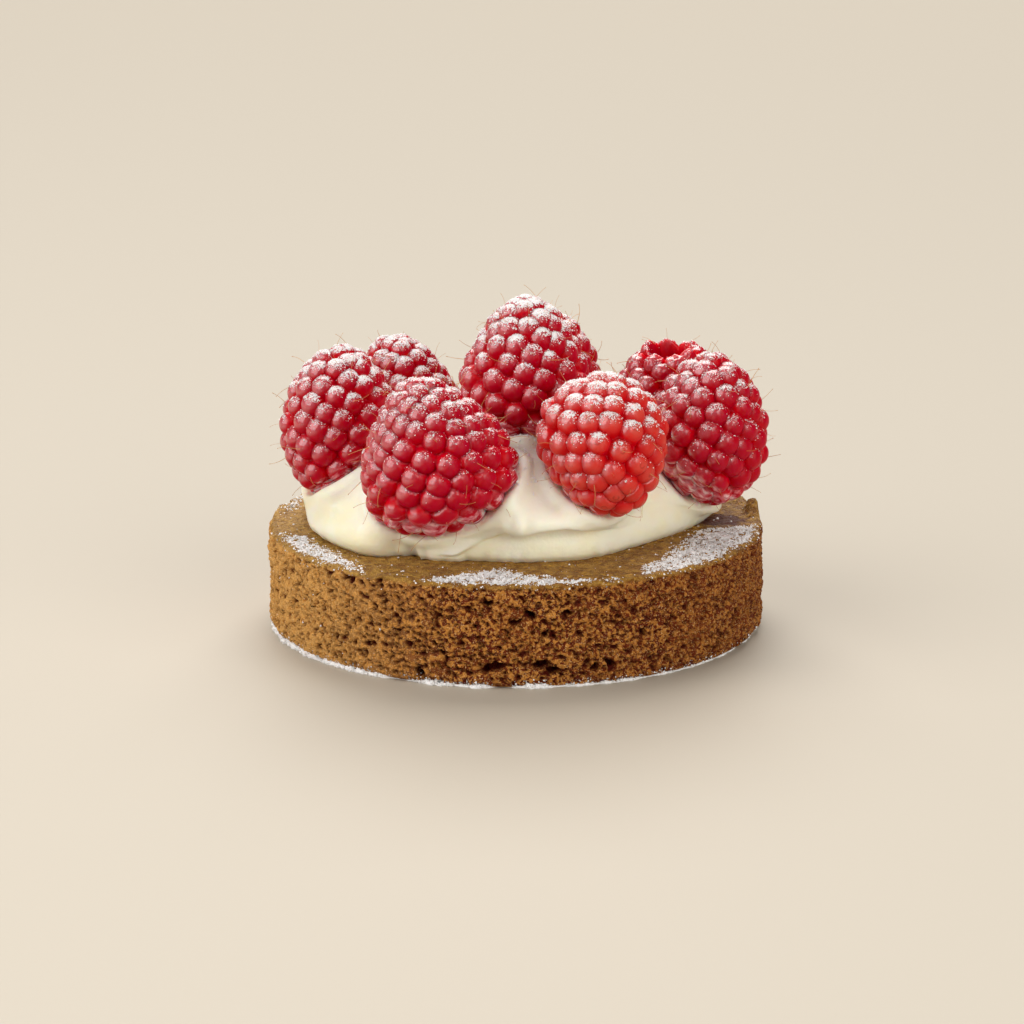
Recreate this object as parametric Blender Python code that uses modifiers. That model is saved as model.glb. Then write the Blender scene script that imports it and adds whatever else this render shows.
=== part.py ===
"""Raspberry tartlet: a round of ginger sponge, a mound of cream and eight raspberries.

Metres, +Z up. The origin is the middle of the sponge's flat underside, and -Y is the front.
"""

from collections import namedtuple
from math import atan2, cos, degrees, hypot, pi, radians, sin, sqrt

import bmesh
import bpy
from mathutils import Matrix, Vector, noise

MM = 0.001

# Driving sizes
SPONGE_RADIUS = 40.0 * MM
SPONGE_HEIGHT = 16.6 * MM
MOUND_HEIGHT = 18.0 * MM
CLEARANCE = 0.3 * MM
SOCKET_GAP = 0.45 * MM
GOLDEN_ANGLE = pi * (3 - sqrt(5))

# A raspberry's middle, half width, length and spacing of drupelets, in millimetres; how much
# it narrows to the tip; the way the tip points; and the turn of its spiral of drupelets
Raspberry = namedtuple("Raspberry", "middle half_width length spacing taper tip turn")
RASPBERRIES = {
    "raspberry_front_left": Raspberry((-13.1, -22.0, 33.6), 12.1, 26.0, 4.1, 0.38, (-0.28, -0.12, 1.0), 0.4),
    "raspberry_front_right": Raspberry((13.9, -21.0, 34.4), 10.6, 23.8, 4.1, 0.15, (0.28, -0.5, -0.9), 1.9),
    "raspberry_left": Raspberry((-28.6, 1.8, 32.5), 9.9, 26.2, 4.0, 0.08, (0.03, 0.2, 1.0), 2.7),
    "raspberry_right": Raspberry((31.2, -3.8, 33.0), 9.8, 25.2, 4.0, 0.12, (0.0, 0.15, 1.0), 3.3),
    "raspberry_middle": Raspberry((1.6, -1.8, 41.3), 10.9, 26.8, 4.2, 0.26, (0.02, 0.05, 1.0), 4.6),
    "raspberry_back": Raspberry((4.9, 20.6, 35.9), 9.5, 24.0, 4.0, 0.05, (-0.1, 0.2, 1.0), 5.2),
    "raspberry_back_left": Raspberry((-18.4, 19.4, 32.5), 9.0, 22.5, 3.8, 0.18, (-0.3, 0.2, 1.0), 6.1),
    "raspberry_back_right": Raspberry((25.7, 15.8, 33.2), 9.4, 20.5, 3.8, 0.12, (0.05, 0.1, -1.0), 7.4),
}
# This one is less ripe than the others
PALE_RASPBERRY = "raspberry_front_right"
# This one stands on its tip, and the hollow left by its stalk opens upwards
OPEN_RASPBERRY = "raspberry_back_right"
HOLLOW_MOUTH_RADIUS = 3.8 * MM
HOLLOW_FLOOR_RADIUS = 2.2 * MM
HOLLOW_DEPTH = 6.0 * MM

# Edge of the cream on the sponge, as (bearing in degrees, radius in millimetres)
CREAM_EDGE = (
    (-180, 33.8), (-163, 33.8), (-147, 33.4), (-131, 32.0), (-124, 29.4), (-110, 28.2), (-96, 27.2),
    (-80, 27.2), (-62, 27.4), (-44, 26.4), (-24, 27.4), (-4, 30.4), (12, 33.8), (36, 34.6),
    (66, 35.0), (96, 36.2), (128, 35.0), (155, 35.6),
)
# Section of the mound from its foot up: (share of the edge radius, share of the height)
CREAM_SECTION = (
    (0.97, 0.0), (1.0, 0.055), (1.012, 0.14), (1.0, 0.22), (0.972, 0.30), (0.945, 0.38), (0.885, 0.48),
    (0.79, 0.60), (0.66, 0.72), (0.50, 0.83), (0.36, 0.915), (0.20, 0.975), (0.08, 1.0),
)
# The mound is lower at its left: by how much, at what bearing, and over how many degrees
SAG = (1.2 * MM, -165, 45)
# The spoon folded the upper cream over the lower in front: how far each row of the section
# stands in or out there
FOLD = {2: -0.3, 3: -0.5, 4: 0.4, 5: 1.6, 6: 2.0, 7: 1.7, 8: 1.0}
FOLD_BEARINGS = (-126, -106, -50, -26)


def new_collection(name):
    collection = bpy.data.collections.new(name)
    bpy.context.scene.collection.children.link(collection)
    return collection


def new_object(name, mesh, collection):
    obj = bpy.data.objects.new(name, mesh)
    collection.objects.link(obj)
    return obj


def new_material(name, colour, roughness):
    material = bpy.data.materials.new(name)
    material.use_nodes = True
    shader = material.node_tree.nodes["Principled BSDF"]
    shader.inputs["Base Color"].default_value = (*colour, 1.0)
    shader.inputs["Roughness"].default_value = roughness
    shader.inputs["Metallic"].default_value = 0.0
    return material


def finished_mesh(name, bm):
    mesh = bpy.data.meshes.new(name)
    bm.to_mesh(mesh)
    bm.free()
    return mesh


def evaluated_mesh(obj):
    """The object's mesh with its modifiers applied."""
    depsgraph = bpy.context.evaluated_depsgraph_get()
    return bpy.data.meshes.new_from_object(obj.evaluated_get(depsgraph))


def smooth_step(value):
    value = min(1.0, max(0.0, value))
    return value * value * (3 - 2 * value)


def loop_curve(points, bearing):
    """A smooth closed curve through (bearing, value) points, read at a bearing in degrees."""
    count = len(points)
    bearing = (bearing - points[0][0]) % 360 + points[0][0]
    ends = [place for place, _ in points[1:]] + [points[0][0] + 360]
    i = next(i for i in range(count) if bearing <= ends[i])
    t = (bearing - points[i][0]) / (ends[i] - points[i][0])
    before, start, end, after = (points[(i + step) % count][1] for step in (-1, 0, 1, 2))
    slope = (end - before) / 2
    bend = before - 2.5 * start + 2 * end - after / 2
    return start + t * (slope + t * (bend + t * (1.5 * (start - end) + (after - before) / 2)))


# Sponge

SPONGE_STEPS = 96
SIDE_ROWS = 7
SIDE_DRAFT = 0.2 * MM
RIM_START = 37.2 * MM
RIM_ROUND = 1.0 * MM
PIT_COUNT = 60
PIT_LOWEST = 0.12
PIT_HIGHEST = 0.80
PIT_RADIUS = 1.9 * MM
PIT_DEPTH = 1.1 * MM
CRUMB_RELIEF = 0.5 * MM
RIM_RELIEF = 0.25 * MM
CRUMB_SCALE = 420
FOOT_ROUND = 1.7 * MM
# Flakes that stand up from the rim, and chips out of it: (bearing in degrees, height)
CRAG_REACH = 5
CRAGS = ((7.5, 2.5 * MM), (18.75, 0.9 * MM), (168.75, 0.7 * MM), (-127.5, -0.9 * MM), (-142.5, -0.7 * MM))


def sponge_profile():
    """Half section of the sponge at +X, from the middle of the top to the middle of the foot."""
    shoulder_height = SPONGE_HEIGHT - RIM_ROUND
    side_height = shoulder_height - FOOT_ROUND
    points = [(0.0, SPONGE_HEIGHT), (RIM_START, SPONGE_HEIGHT)]
    points.append((SPONGE_RADIUS - RIM_ROUND, SPONGE_HEIGHT - 0.2 * RIM_ROUND))
    for row in range(SIDE_ROWS):
        part = row / (SIDE_ROWS - 1)
        points.append((SPONGE_RADIUS - SIDE_DRAFT * part, shoulder_height - side_height * part))
    points.append((SPONGE_RADIUS - FOOT_ROUND, 0.0))
    points.append((0.0, 0.0))
    return points


def crag_at(bearing):
    """How far the rim stands up, or has dropped, at a bearing in degrees."""
    lift = 0.0
    for place, height in CRAGS:
        away = abs((bearing - place + 180) % 360 - 180)
        lift += height * max(0.0, 1 - away / CRAG_REACH)
    return lift


def crumb_offset(point):
    """Radial relief of the torn crumb: coarse lumps, and the deeper of its pores."""
    lumps = noise.noise(point * CRUMB_SCALE) + 0.5 * noise.noise(point * CRUMB_SCALE * 2.1)
    offset = CRUMB_RELIEF * lumps
    for i in range(PIT_COUNT):
        bearing = i * GOLDEN_ANGLE
        height = (PIT_LOWEST + (PIT_HIGHEST - PIT_LOWEST) * (i * bearing % 1.0)) * SPONGE_HEIGHT
        pit = Vector((SPONGE_RADIUS * cos(bearing), SPONGE_RADIUS * sin(bearing), height))
        away = (point - pit).length / PIT_RADIUS
        offset -= PIT_DEPTH * max(0.0, 1 - away)
    return offset


def make_sponge(collection, material):
    """The sponge: a turned section whose wall and rim are then roughened."""
    mesh = bpy.data.meshes.new("sponge_section")
    profile = sponge_profile()
    mesh.from_pydata([(x, 0, z) for x, z in profile], [(i, i + 1) for i in range(len(profile) - 1)], [])
    sponge = new_object("sponge", mesh, collection)
    screw = sponge.modifiers.new("turn", "SCREW")
    screw.steps = SPONGE_STEPS
    screw.render_steps = SPONGE_STEPS
    screw.use_merge_vertices = True
    screw.merge_threshold = 0.01 * MM
    turned = evaluated_mesh(sponge)
    sponge.modifiers.clear()
    sponge.data = turned
    for vertex in turned.vertices:
        radius = hypot(vertex.co.x, vertex.co.y)
        if vertex.co.z == 0 or radius < RIM_START - 0.1 * MM:
            continue
        outward = Vector((vertex.co.x / radius, vertex.co.y / radius, 0))
        if vertex.co.z > SPONGE_HEIGHT - 0.5 * RIM_ROUND:
            vertex.co.z += RIM_RELIEF * noise.noise(vertex.co * CRUMB_SCALE)
            if radius > RIM_START + RIM_ROUND:
                vertex.co.z += crag_at(degrees(atan2(vertex.co.y, vertex.co.x)))
        else:
            vertex.co += outward * crumb_offset(vertex.co)
    turned.materials.append(material)
    turned.shade_smooth()


# Raspberries

DRUPELET_DEPTH = 1.15 * MM
TOP_UNEVENNESS = 0.12 * MM
# How far drupelets stray from their spiral, along the berry and round it, as a share of their spacing
STRAY_ALONG = 0.14
STRAY_ROUND = 0.16
# Drupelets this far under the cream's top can't be seen, and there are fewer of them
SUNK_DEPTH = 3.0 * MM


def berry_place(berry):
    """Takes a berry from its own frame, tip along +Z, to where it lies."""
    turn = Vector(berry.tip).to_track_quat("Z", "Y").to_matrix().to_4x4()
    return Matrix.Translation(Vector(berry.middle) * MM) @ turn


def skin_point(berry, direction, grow=0.0):
    """Point of the berry's outer envelope in its own frame, for a unit direction."""
    swell = berry.half_width * MM * (1 - berry.taper * direction.z)
    half_length = berry.length * MM / 2
    place = Vector((direction.x * swell, direction.y * swell, direction.z * half_length))
    return place + direction * grow


def drupelet_count(berry):
    """As many drupelets, packed as hexagons, as cover a berry of this size."""
    area = 4 * pi * berry.half_width ** (4 / 3) * (berry.length / 2) ** (2 / 3)
    return round(area / (sqrt(0.75) * berry.spacing**2))


def drupelet_directions(berry):
    """Unit directions of the drupelets: a golden-angle spiral from tip to hull, a little uneven."""
    count = drupelet_count(berry)
    spread = sqrt(4 * pi / count)
    directions = []
    for i in range(count):
        height = 1 - 2 * (i + 0.5) / count + STRAY_ALONG * spread * sin(5.3 * i + berry.turn)
        height = min(0.995, max(-0.995, height))
        bearing = i * GOLDEN_ANGLE + berry.turn + STRAY_ROUND * spread * sin(7.1 * i + 2 * berry.turn)
        ring = sqrt(1 - height**2)
        directions.append(Vector((ring * cos(bearing), ring * sin(bearing), height)))
    return directions


def make_raspberry(name, collection, material):
    """One berry: its drupelets' tops joined by a hull, with a valley between every three."""
    berry = RASPBERRIES[name]
    place = berry_place(berry)
    bm = bmesh.new()
    for i, direction in enumerate(drupelet_directions(berry)):
        top = place @ skin_point(berry, direction)
        sunk = top.z < cream_height(top.x, top.y) - SUNK_DEPTH
        if not sunk or i % 3 == 0:
            bm.verts.new(direction)
    hull = bmesh.ops.convex_hull(bm, input=bm.verts)
    spans = [item for item in hull["geom"] if isinstance(item, bmesh.types.BMEdge)]
    tops = set(bm.verts)
    bmesh.ops.poke(bm, faces=bm.faces)
    bmesh.ops.rotate_edges(bm, edges=spans, use_ccw=False)
    for i, vertex in enumerate(bm.verts):
        depth = DRUPELET_DEPTH
        if vertex in tops:
            depth = TOP_UNEVENNESS * (1 + sin(3.7 * i))
        vertex.co = skin_point(berry, vertex.co.normalized(), -depth)
    bmesh.ops.recalc_face_normals(bm, faces=bm.faces)
    bmesh.ops.triangulate(bm, faces=bm.faces)
    obj = new_object(name, finished_mesh(name, bm), collection)
    obj.data.materials.append(material)
    obj.matrix_world = place
    return obj


def open_hull(obj, cutters):
    """The hollow that the stalk's core left, open at the berry's wide end."""
    flare = (HOLLOW_MOUTH_RADIUS - HOLLOW_FLOOR_RADIUS) * 2
    bm = bmesh.new()
    bmesh.ops.create_cone(
        bm,
        cap_ends=True,
        segments=14,
        radius1=HOLLOW_FLOOR_RADIUS + flare,
        radius2=HOLLOW_FLOOR_RADIUS,
        depth=2 * HOLLOW_DEPTH,
    )
    bmesh.ops.translate(bm, verts=bm.verts, vec=(0, 0, -RASPBERRIES[obj.name].length * MM / 2))
    cutter = new_object("hollow", finished_mesh("hollow", bm), cutters)
    cutter.matrix_world = obj.matrix_world
    cut(obj, cutter)


# Cream

CREAM_STEPS = 60
LUMPS = 0.5 * MM


def cream_edge(bearing):
    """Radius of the mound on the sponge at a bearing in degrees."""
    return loop_curve(CREAM_EDGE, bearing) * MM


def sag(bearing, rise):
    """How much lower a part of the section is on the mound's lower side."""
    drop, place, reach = SAG
    away = abs((bearing - place + 180) % 360 - 180) / reach
    return drop * (1 - smooth_step(away)) * sin(pi * rise)


def mound_rise(bearing, rise):
    """Height over the sponge of a part of the section at a bearing in degrees."""
    return MOUND_HEIGHT * rise - sag(bearing, rise)


def cream_height(x, y):
    """Height of the cream's top above the table at a point of the plan."""
    bearing = degrees(atan2(y, x))
    share = hypot(x, y) / cream_edge(bearing)
    inner, high = 0.0, 1.0
    for radius, rise in reversed(CREAM_SECTION[2:]):
        if share <= radius:
            part = (share - inner) / (radius - inner)
            return SPONGE_HEIGHT + mound_rise(bearing, high + (rise - high) * part)
        inner, high = radius, rise
    return SPONGE_HEIGHT


def fold_offset(row, bearing):
    """How far a row of the mound's section stands out at a bearing in degrees."""
    start, full, fading, end = FOLD_BEARINGS
    along = smooth_step((bearing - start) / (full - start)) * smooth_step((end - bearing) / (end - fading))
    return FOLD.get(row, 0.0) * MM * along


def mound_point(row, bearing):
    """Point of the mound on a row of its section at a bearing in degrees."""
    share, rise = CREAM_SECTION[row]
    outward = Vector((cos(radians(bearing)), sin(radians(bearing)), 0))
    lump = LUMPS * noise.noise(3 * outward + Vector((0, 0, 4 * rise))) * min(1.0, 4 * rise)
    point = outward * (cream_edge(bearing) * share + fold_offset(row, bearing))
    point.z = SPONGE_HEIGHT + CLEARANCE + mound_rise(bearing, rise) + lump
    return point


def make_cream(collection, cutters, material):
    """The cream: rings of a mound whose edge wanders, less a socket for every raspberry."""
    bearings = [360 * step / CREAM_STEPS - 180 for step in range(CREAM_STEPS)]
    bm = bmesh.new()
    rings = []
    for row in range(len(CREAM_SECTION)):
        ring = [bm.verts.new(mound_point(row, bearing)) for bearing in bearings]
        rings.append([bm.edges.new((ring[i - 1], ring[i])) for i in range(CREAM_STEPS)])
    for lower, upper in zip(rings, rings[1:]):
        bmesh.ops.bridge_loops(bm, edges=lower + upper)
    bmesh.ops.contextual_create(bm, geom=rings[0])
    crown = bmesh.ops.contextual_create(bm, geom=rings[-1])["faces"]
    bmesh.ops.poke(bm, faces=crown)
    bmesh.ops.recalc_face_normals(bm, faces=bm.faces)
    bmesh.ops.triangulate(bm, faces=bm.faces)
    cream = new_object("cream", finished_mesh("cream", bm), collection)
    cream.data.materials.append(material)
    for name, berry in RASPBERRIES.items():
        cut(cream, make_socket(name + "_socket", berry, cutters))


def make_socket(name, berry, cutters):
    """The berry's envelope, a little larger, as the dent that it presses into the cream."""
    bm = bmesh.new()
    bmesh.ops.create_icosphere(bm, subdivisions=3, radius=1.0)
    for vertex in bm.verts:
        vertex.co = skin_point(berry, vertex.co.normalized(), SOCKET_GAP)
    socket = new_object(name, finished_mesh(name, bm), cutters)
    socket.matrix_world = berry_place(berry)
    return socket


def cut(obj, cutter):
    cutter.hide_render = True
    cutter.display_type = "WIRE"
    boolean = obj.modifiers.new(cutter.name, "BOOLEAN")
    boolean.operation = "DIFFERENCE"
    boolean.object = cutter


def main():
    for obj in list(bpy.data.objects):
        bpy.data.objects.remove(obj)
    tartlet = new_collection("raspberry_tartlet")
    cutters = new_collection("cutters")
    crumb = new_material("ginger_sponge", (0.40, 0.19, 0.055), 0.85)
    dairy = new_material("vanilla_cream", (0.90, 0.84, 0.62), 0.4)
    flesh = new_material("raspberry_flesh", (0.62, 0.012, 0.03), 0.35)
    pale_flesh = new_material("pale_raspberry_flesh", (0.72, 0.07, 0.05), 0.35)
    make_sponge(tartlet, crumb)
    make_cream(tartlet, cutters, dairy)
    for name in RASPBERRIES:
        obj = make_raspberry(name, tartlet, pale_flesh if name == PALE_RASPBERRY else flesh)
        if name == OPEN_RASPBERRY:
            open_hull(obj, cutters)


main()
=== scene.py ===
"""Raspberry tartlet, dressed: the finish of the sponge, the cream, the raspberries and the icing sugar.

The frame is the solids' own, +Z up and -Y to the front. The camera and the lights are in metres. The
pieces' own sizes are in millimetres and the bearings in degrees; MM turns millimetres to metres.
"""

from collections import namedtuple
from math import atan2, cos, degrees, hypot, pi, radians, sin, sqrt

import bmesh
import bpy
import numpy as np
from mathutils import Matrix, Vector, noise
from mathutils.bvhtree import BVHTree


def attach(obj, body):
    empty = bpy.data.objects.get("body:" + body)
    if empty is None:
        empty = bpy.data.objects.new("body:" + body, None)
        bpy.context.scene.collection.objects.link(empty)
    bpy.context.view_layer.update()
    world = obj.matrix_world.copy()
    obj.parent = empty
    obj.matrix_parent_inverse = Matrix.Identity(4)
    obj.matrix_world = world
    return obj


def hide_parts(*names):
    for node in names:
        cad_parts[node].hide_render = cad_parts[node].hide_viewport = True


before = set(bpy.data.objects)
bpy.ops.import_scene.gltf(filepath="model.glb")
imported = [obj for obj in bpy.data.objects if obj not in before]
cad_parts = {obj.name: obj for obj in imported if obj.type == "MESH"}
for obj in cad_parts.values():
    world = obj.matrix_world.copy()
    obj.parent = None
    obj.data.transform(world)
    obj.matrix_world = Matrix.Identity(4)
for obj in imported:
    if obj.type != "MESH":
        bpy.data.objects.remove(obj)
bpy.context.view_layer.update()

MM = 0.001


# Camera, floor and light
# The tartlet stands on a plain pale floor and is seen from a little above its front. A large soft
# light at the upper left makes the broad sheen on the berries, and a weaker one fills the right. A pink
# sheen is also painted on the side of each bead that faces the upper left light.

CAMERA_TILT = radians(14.8)
CAMERA_DISTANCE = 0.8
CAMERA_LENS = 172.97
CAMERA_AIM = Vector((-0.65, 0.0, 18.05)) * MM
FLOOR_SIDE = 8.0
FLOOR_COLOUR = (0.46, 0.41, 0.335)
SKY_COLOUR = (1.0, 0.95, 0.90)
SKY_STRENGTH = 0.12


def soft_light(name, place, side, watts, colour):
    """A square area light at a place, aimed at the middle of the tartlet."""
    light = bpy.data.lights.new(name, "AREA")
    light.shape = "SQUARE"
    light.size = side
    light.energy = watts
    light.color = colour
    lamp = bpy.data.objects.new(name, light)
    bpy.context.scene.collection.objects.link(lamp)
    lamp.location = place
    lamp.rotation_euler = (CAMERA_AIM - lamp.location).to_track_quat("-Z", "Y").to_euler()


lens = bpy.data.cameras.new("camera")
lens.lens = CAMERA_LENS
lens.sensor_width = 36.0
lens.clip_start = 0.05
camera = bpy.data.objects.new("camera", lens)
bpy.context.scene.collection.objects.link(camera)
camera.location = CAMERA_AIM + CAMERA_DISTANCE * Vector((0, -cos(CAMERA_TILT), sin(CAMERA_TILT)))
camera.rotation_euler = (CAMERA_AIM - camera.location).to_track_quat("-Z", "Y").to_euler()
bpy.context.scene.camera = camera
bpy.context.scene.view_settings.view_transform = "Standard"

# Each light's place, side, watts and colour
soft_light("window", Vector((-0.50, -0.22, 0.42)), 0.80, 4.6, (1.0, 0.98, 0.96))
soft_light("ceiling", Vector((0.0, 1.5, 1.6)), 1.80, 56.0, (1.0, 0.97, 0.92))
soft_light("fill", Vector((0.55, -0.62, 0.42)), 0.90, 6.0, (1.0, 0.98, 0.93))

sky = bpy.data.worlds.new("sky")
sky.use_nodes = True
sky.node_tree.nodes["Background"].inputs["Color"].default_value = (*SKY_COLOUR, 1.0)
sky.node_tree.nodes["Background"].inputs["Strength"].default_value = SKY_STRENGTH
bpy.context.scene.world = sky

bpy.ops.mesh.primitive_plane_add(size=FLOOR_SIDE)
floor = bpy.context.object
floor.name = "floor"
paint = bpy.data.materials.new("floor_paint")
paint.use_nodes = True
paint.node_tree.nodes["Principled BSDF"].inputs["Base Color"].default_value = (*FLOOR_COLOUR, 1.0)
paint.node_tree.nodes["Principled BSDF"].inputs["Roughness"].default_value = 0.6
floor.data.materials.append(paint)


# Sponge
# A round of brown sponge cut with a ring: a thin golden crust on top, and open crumb with pores
# and torn holes all round its wall. Icing sugar lies in crescents near its rim, and under a berry the
# crust is painted dark red, a juice stain with a painted shadow. Light and shade are painted on it too:
# the crumb and crust lighter at the left, the crumb darker at the right, painted shade in the pores
# and creases, and painted glints on the crumb.

SPONGE_RADIUS = 40.0
SPONGE_HEIGHT = 16.6
SPONGE_STEPS = 900
RIM_ROUND = 0.8
FOOT_ROUND = 1.7
WALL_STEP = 0.27
TOP_STEP = 0.5
TOP_START = 24.0
# Rings under the cream and on the underside, where the sponge stays plain
HIDDEN_RINGS = (0.0, 10.0, 18.0)
UNDERSIDE_RING = 20.0
RELIEF_START = 18.5
RIM_TURNS = (0.0, 0.3, 0.6, 0.85, 1.0)
FOOT_TURNS = (0.0, 0.25, 0.5, 0.75, 1.0)
# The larger holes torn in the crumb in front: (bearing, height, half width, half height)
HOLES = (
    (-95.2, 3.4, 2.3, 0.75), (-84.6, 3.8, 1.5, 0.7), (-81.6, 2.9, 1.3, 0.6), (-90.3, 10.8, 1.1, 0.45),
    (-86.7, 11.9, 1.0, 0.4), (-78.5, 12.0, 1.1, 0.4), (-83.6, 8.9, 0.7, 0.45), (-96.7, 13.9, 0.8, 0.5),
    (-107.2, 5.2, 0.5, 0.5), (-112.0, 1.9, 0.9, 0.5), (-68.3, 3.4, 0.9, 0.7), (-72.1, 3.0, 0.8, 0.6),
    (-29.0, 5.4, 1.0, 0.9), (-60.2, 7.8, 0.6, 0.6), (-35.1, 3.9, 1.0, 0.5),
)
HOLE_DEPTH = 2.4
# Pores in three sizes: cells to a millimetre, the share of cells with a pore, and where its floor
# ends and its brim lies, in cells
FINE_PORES = (1.05, 0.85, 0.22, 0.52)
MIDDLE_PORES = (0.52, 0.5, 0.16, 0.44)
LARGE_PORES = (0.26, 0.14, 0.10, 0.30)
FINE_DEPTH = 0.7
MIDDLE_DEPTH = 0.8
LARGE_DEPTH = 1.1
PORE_FLATNESS = 1.6
# The pores wander by noise_vector, whose offsets come from the clock unless a seed is set
CRUMB_SEED = 3
# Flakes that stand up from the rim, and chips out of it: (bearing, height)
CRAGS = ((7.5, 2.5), (18.75, 0.9), (168.75, 0.7), (-127.5, -0.9), (-142.5, -0.7))
CRAG_REACH = 5
# Crescents of icing sugar on the crust: (bearing, inner edge) along each, out to the rim
SUGAR_CRESCENTS = (
    ((-168, 39.5), (-162, 34.6), (-146, 35.2), (-136, 36.2), (-129, 39.5)),
    ((-114, 39.5), (-109, 36.8), (-103, 33.5), (-95, 29.6), (-87, 33.2), (-77, 36.0), (-64, 39.0)),
    ((-60, 39.5), (-50, 33.5), (-38, 30.4), (-25, 29.4), (-12, 29.8), (-6, 36.5), (-3, 39.5)),
    ((36, 39.5), (50, 37.2), (70, 37.6), (82, 39.5)),
    ((98, 39.5), (112, 37.4), (126, 38.2), (134, 39.5)),
    ((147, 39.5), (154, 37.0), (167, 37.4), (174, 39.5)),
)
# Icing sugar that clings to the foot of the wall
FOOT_SUGAR_HEIGHT = 1.8
FOOT_SUGAR_RADIUS = 37.5


def smooth_step(low, high, value):
    """0 up to low, 1 from high on, and smooth between; low may be the larger."""
    part = np.clip((value - low) / (high - low), 0.0, 1.0)
    return part * part * (3 - 2 * part)


def between(points, place):
    """Straight-line interpolation through (place, value) points."""
    places, values = zip(*points)
    return np.interp(place, places, values)


def sponge_section():
    """Half section of the sponge as (radius, height) in millimetres, from the top's middle to the foot's."""
    points = [(radius, SPONGE_HEIGHT) for radius in HIDDEN_RINGS]
    inner = SPONGE_RADIUS - RIM_ROUND
    for radius in np.arange(TOP_START, inner, TOP_STEP):
        points.append((float(radius), SPONGE_HEIGHT))
    for turn in RIM_TURNS:
        angle = turn * pi / 2
        round_off = RIM_ROUND * Vector((sin(angle), cos(angle) - 1))
        points.append((inner + round_off.x, SPONGE_HEIGHT + round_off.y))
    for height in np.arange(SPONGE_HEIGHT - RIM_ROUND - WALL_STEP, FOOT_ROUND, -WALL_STEP):
        points.append((SPONGE_RADIUS, float(height)))
    for turn in FOOT_TURNS:
        angle = turn * pi / 2
        points.append((SPONGE_RADIUS - FOOT_ROUND * (1 - cos(angle)), FOOT_ROUND * (1 - sin(angle))))
    points.append((UNDERSIDE_RING, 0.0))
    points.append((0.0, 0.0))
    return points


def sugar_on_crust(point, bearing, radius):
    """How thick the icing sugar lies at a point of the crust, from 0 to 1."""
    stray = 1.6 * noise.noise(point * 0.33) + 0.9 * noise.noise(point * 1.0)
    bearing += 2.0 * noise.noise(point * 0.4 + Vector((5, 0, 0)))
    thickest = 0.0
    for crescent in SUGAR_CRESCENTS:
        if crescent[0][0] < bearing < crescent[-1][0]:
            inner = between(crescent, bearing)
            thickest = max(thickest, float(smooth_step(inner - 1.6, inner + 2.2, radius + stray)))
    at_rim = float(smooth_step(SPONGE_RADIUS - 1.6, SPONGE_RADIUS - 0.6, radius + 0.4 * stray))
    return thickest * (1 - 0.9 * at_rim)


def pits(point, scale, share, low, high):
    """Depth from 0 to 1 of round pits in cells of 1/scale millimetres, in a share of the cells."""
    distances, middles = noise.voronoi(point * scale)
    if 0.5 + 0.5 * noise.cell(middles[0] * 7.3) > share:
        return 0.0
    return 1 - float(smooth_step(low, high, distances[0]))


def wall_relief(point, bearing):
    """How far the torn crumb of the wall stands in at a point, and how deep in a pore that is."""
    wander = noise.noise_vector(point * 0.8) * 0.5
    place = point + wander
    flat = Vector((place.x, place.y, place.z * PORE_FLATNESS))
    fine = pits(flat, *FINE_PORES)
    middle = pits(flat + Vector((9, 0, 0)), *MIDDLE_PORES)
    large = pits(flat + Vector((0, 17, 0)), *LARGE_PORES)
    torn = 0.0
    for hole_bearing, height, half_width, half_height in HOLES:
        if abs(bearing - hole_bearing) < 8:
            across = radians(bearing - hole_bearing) * SPONGE_RADIUS + 0.5 * wander.x
            up = place.z - height + 0.3 * across * sin(hole_bearing)
            away = hypot(across / half_width, up / half_height)
            torn = max(torn, 1 - float(smooth_step(0.6, 1.15, away)))
    pore = max(0.55 * fine, 0.75 * middle, large, torn)
    crumbs = noise.noise(point * 2.3)
    depth = FINE_DEPTH * fine + MIDDLE_DEPTH * middle + LARGE_DEPTH * large + HOLE_DEPTH * torn
    lumps = 0.5 * noise.noise(point * 0.42) + 0.25 * noise.noise(point * 0.88)
    return lumps + 0.22 * crumbs - depth, pore


def rim_bite(point, radius):
    """How far the crumbly rim has broken back from its circle at a point."""
    bite = max(0.0, 0.9 * noise.noise(point * 0.45) + 0.6 * noise.noise(point * 1.1))
    return bite * float(smooth_step(SPONGE_RADIUS - 2.5, SPONGE_RADIUS - 0.3, radius))


def crag_at(bearing):
    """How far the rim's flakes and chips lift it at a bearing."""
    lift = 0.0
    for place, height in CRAGS:
        away = abs((bearing - place + 180) % 360 - 180)
        lift += height * max(0.0, 1 - away / CRAG_REACH)
    return lift


def icing_at_foot(bearing):
    """How much icing sugar lies along the foot at a bearing, from 0 to 1: most at the left and in front."""
    outward = Vector((cos(radians(bearing)), sin(radians(bearing)), 0))
    drifts = noise.noise(outward * 3.4) + 0.7 * noise.noise(outward * 9)
    at_right = float(smooth_step(0.1, 0.6, outward.x))
    return float(smooth_step(-0.75, -0.05, drifts)) * (1 - 0.5 * at_right)


def made_piece(name, mesh):
    """An object in the scene that holds the mesh, at the origin."""
    piece = bpy.data.objects.new(name, mesh)
    bpy.context.scene.collection.objects.link(piece)
    return piece


def store(mesh, name, values):
    """Keeps one number for each vertex, for the materials to read."""
    attribute = mesh.attributes.new(name, "FLOAT", "POINT")
    attribute.data.foreach_set("value", np.asarray(values, np.float32))


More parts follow.
